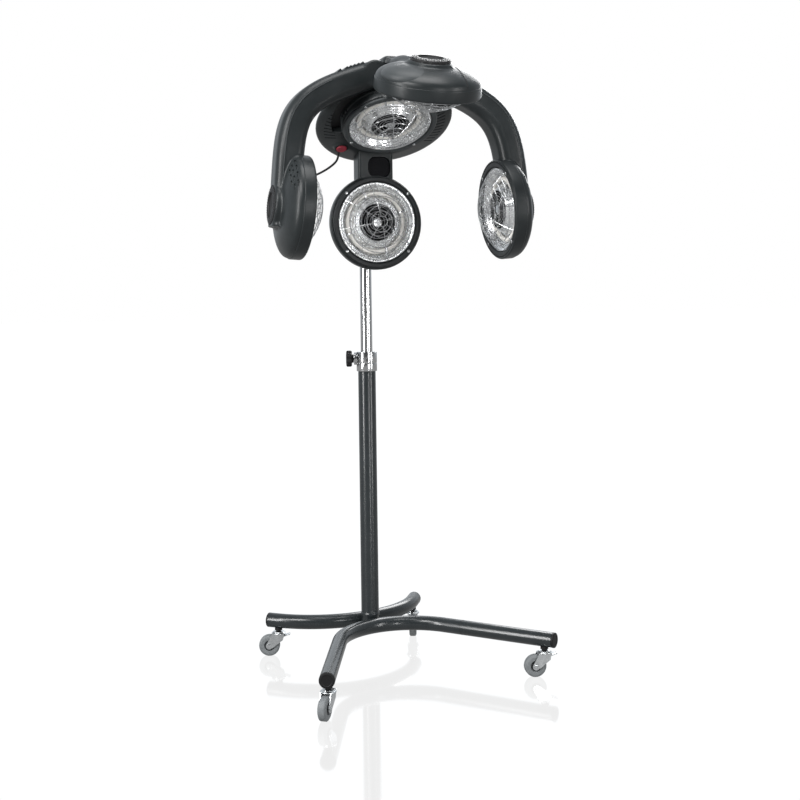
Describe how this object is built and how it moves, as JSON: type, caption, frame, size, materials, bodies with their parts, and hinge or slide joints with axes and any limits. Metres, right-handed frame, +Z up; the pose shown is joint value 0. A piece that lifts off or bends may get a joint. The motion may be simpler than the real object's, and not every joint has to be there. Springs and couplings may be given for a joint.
{
  "type": "hair color processor",
  "caption": "Salon hair colour processor: ring-lamp heads with fans on a hood with hinged arms, carried by a telescopic pole on a wheeled stand.",
  "frame": {"origin": "on the floor, under the middle of the whole object's bounding box", "axes": "+Z up along the pole, -Y the open side of the hood where the client sits, +X to the right seen from that side"},
  "size_m": [0.654, 0.7622, 1.387],
  "materials": {
    "charcoal_plastic": "satin moulded",
    "dark_plastic": "satin moulded",
    "bright_aluminium": "bright anodised",
    "lamp_glass": "frosted",
    "bright_wire": "bright plated",
    "black_plastic": "fine grain",
    "black_gloss": "gloss",
    "red_plastic": "gloss",
    "black_rubber": "matt",
    "grey_paint": "gloss powder coat",
    "chrome": "polished",
    "zinc_steel": "zinc plated",
    "grey_rubber": "matt"
  },
  "bodies": {
    "base": {"front_leg_tube": "grey_paint", "rear_leg_tube": "grey_paint", "front_leg_end_cap": "black_plastic", "right_leg_end_cap": "black_plastic", "left_leg_end_cap": "black_plastic", "rear_leg_end_cap": "black_plastic", "column": "grey_paint", "clamp_collar": "chrome"},
    "pole": {"pole": "chrome"},
    "knob": {"clamp_knob": "black_plastic"},
    "hood": {"crown_housing": "charcoal_plastic", "nape_housing": "charcoal_plastic", "neck_cover": "black_gloss", "control_cable": "black_rubber", "crown_bezel": "dark_plastic", "crown_reflector": "bright_aluminium", "crown_ring_lamp": "lamp_glass", "crown_wire_guard": "bright_wire", "crown_fan_motor": "black_plastic", "nape_bezel": "dark_plastic", "nape_reflector": "bright_aluminium", "nape_ring_lamp": "lamp_glass", "nape_wire_guard": "bright_wire", "nape_fan_motor": "black_plastic"},
    "switch": {"power_switch": "red_plastic"},
    "left_head": {"left_arm": "charcoal_plastic", "left_bezel": "dark_plastic", "left_reflector": "bright_aluminium", "left_ring_lamp": "lamp_glass", "left_wire_guard": "bright_wire", "left_fan_motor": "black_plastic"},
    "right_head": {"right_arm": "charcoal_plastic", "right_bezel": "dark_plastic", "right_reflector": "bright_aluminium", "right_ring_lamp": "lamp_glass", "right_wire_guard": "bright_wire", "right_fan_motor": "black_plastic"},
    "front_head": {"front_arm": "charcoal_plastic", "front_bezel": "dark_plastic", "front_reflector": "bright_aluminium", "front_ring_lamp": "lamp_glass", "front_wire_guard": "bright_wire", "front_fan_motor": "black_plastic"},
    "crown_fan_rotor": {"crown_fan": "black_plastic"},
    "nape_fan_rotor": {"nape_fan": "black_plastic"},
    "left_fan_rotor": {"left_fan": "black_plastic"},
    "right_fan_rotor": {"right_fan": "black_plastic"},
    "front_fan_rotor": {"front_fan": "black_plastic"},
    "front_fork": {"front_caster_fork": "zinc_steel"},
    "front_wheel": {"front_caster_wheel": "grey_rubber"},
    "front_brake": {"front_caster_brake": "zinc_steel"},
    "right_fork": {"right_caster_fork": "zinc_steel"},
    "right_wheel": {"right_caster_wheel": "grey_rubber"},
    "right_brake": {"right_caster_brake": "zinc_steel"},
    "left_fork": {"left_caster_fork": "zinc_steel"},
    "left_wheel": {"left_caster_wheel": "grey_rubber"},
    "left_brake": {"left_caster_brake": "zinc_steel"},
    "rear_fork": {"rear_caster_fork": "zinc_steel"},
    "rear_wheel": {"rear_caster_wheel": "grey_rubber"},
    "rear_brake": {"rear_caster_brake": "zinc_steel"}
  },
  "joints": [
    {"name": "front_caster_swivel", "type": "hinge", "parent": "base", "child": "front_fork", "pos_m": [-0.23431, -0.18737, 0.058], "axis": [0, 0, 1], "continuous": true},
    {"name": "front_wheel_roll", "type": "hinge", "parent": "front_fork", "child": "front_wheel", "pos_m": [-0.2468, -0.20548, 0.025], "axis": [0.8231, -0.5678, 0], "continuous": true},
    {"name": "front_brake_press", "type": "hinge", "parent": "front_fork", "child": "front_brake", "pos_m": [-0.23261, -0.1849, 0.043], "axis": [-0.8231, 0.5678, 0], "range_deg": [0, 15]},
    {"name": "right_caster_swivel", "type": "hinge", "parent": "base", "child": "right_fork", "pos_m": [0.29687, -0.08988, 0.058], "axis": [0, 0, 1], "continuous": true},
    {"name": "right_wheel_roll", "type": "hinge", "parent": "right_fork", "child": "right_wheel", "pos_m": [0.27518, -0.08621, 0.025], "axis": [-0.1668, -0.986, 0], "continuous": true},
    {"name": "right_brake_press", "type": "hinge", "parent": "right_fork", "child": "right_brake", "pos_m": [0.29983, -0.09038, 0.043], "axis": [0.1668, 0.986, 0], "range_deg": [0, 15]},
    {"name": "left_caster_swivel", "type": "hinge", "parent": "base", "child": "left_fork", "pos_m": [-0.23432, 0.28296, 0.058], "axis": [0, 0, 1], "continuous": true},
    {"name": "left_wheel_roll", "type": "hinge", "parent": "left_fork", "child": "left_wheel", "pos_m": [-0.25529, 0.28961, 0.025], "axis": [-0.3024, -0.9532, 0], "continuous": true},
    {"name": "left_brake_press", "type": "hinge", "parent": "left_fork", "child": "left_brake", "pos_m": [-0.23146, 0.28205, 0.043], "axis": [0.3024, 0.9532, 0], "range_deg": [0, 15]},
    {"name": "rear_caster_swivel", "type": "hinge", "parent": "base", "child": "rear_fork", "pos_m": [0.12987, 0.3498, 0.058], "axis": [0, 0, 1], "continuous": true},
    {"name": "rear_wheel_roll", "type": "hinge", "parent": "rear_fork", "child": "rear_wheel", "pos_m": [0.12321, 0.32883, 0.025], "axis": [0.9532, -0.3024, 0], "continuous": true},
    {"name": "rear_brake_press", "type": "hinge", "parent": "rear_fork", "child": "rear_brake", "pos_m": [0.13077, 0.35266, 0.043], "axis": [-0.9532, 0.3024, 0], "range_deg": [0, 15]},
    {"name": "knob_turn", "type": "hinge", "parent": "base", "child": "knob", "pos_m": [-0.05933, 0.20255, 0.7153], "axis": [-0.9511, 0.309, 0], "continuous": true},
    {"name": "pole_slide", "type": "slide", "parent": "base", "child": "pole", "axis": [0, 0, 1], "range_m": [-0.17, 0.25]},
    {"name": "hood_swivel", "type": "hinge", "parent": "pole", "child": "hood", "pos_m": [-0.02956, 0.19288, 1.15], "axis": [0, 0, 1], "range_deg": [-90, 90]},
    {"name": "left_arm_hinge", "type": "hinge", "parent": "hood", "child": "left_head", "pos_m": [-0.08756, -0.07112, 1.346], "axis": [0, 1, 0], "range_deg": [0, 30], "deforming": ["control_cable"]},
    {"name": "right_arm_hinge", "type": "hinge", "parent": "hood", "child": "right_head", "pos_m": [0.02844, -0.07112, 1.346], "axis": [0, -1, 0], "range_deg": [0, 30]},
    {"name": "front_arm_hinge", "type": "hinge", "parent": "hood", "child": "front_head", "pos_m": [-0.02956, -0.12912, 1.358], "axis": [-1, 0, 0], "range_deg": [0, 45]},
    {"name": "crown_fan_spin", "type": "hinge", "parent": "hood", "child": "crown_fan_rotor", "pos_m": [-0.02956, -0.01396, 1.25371], "axis": [0, -0.4695, -0.8829], "continuous": true},
    {"name": "nape_fan_spin", "type": "hinge", "parent": "hood", "child": "nape_fan_rotor", "pos_m": [-0.02956, 0.09888, 1.036], "axis": [0, -1, 0], "continuous": true},
    {"name": "left_fan_spin", "type": "hinge", "parent": "left_head", "child": "left_fan_rotor", "pos_m": [-0.26053, -0.10112, 1.05486], "axis": [0.9969, 0, -0.0785], "continuous": true},
    {"name": "right_fan_spin", "type": "hinge", "parent": "right_head", "child": "right_fan_rotor", "pos_m": [0.2014, -0.10112, 1.05486], "axis": [-0.9969, 0, -0.0785], "continuous": true},
    {"name": "front_fan_spin", "type": "hinge", "parent": "front_head", "child": "front_fan_rotor", "pos_m": [-0.02956, -0.27206, 1.29027], "axis": [0, 0.3584, -0.9336], "continuous": true},
    {"name": "switch_press", "type": "slide", "parent": "hood", "child": "switch", "axis": [0, 0.4695, 0.8829], "range_m": [0, 0.0025], "stiffness_N_per_m": 400, "springref_m": -0.001}
  ]
}
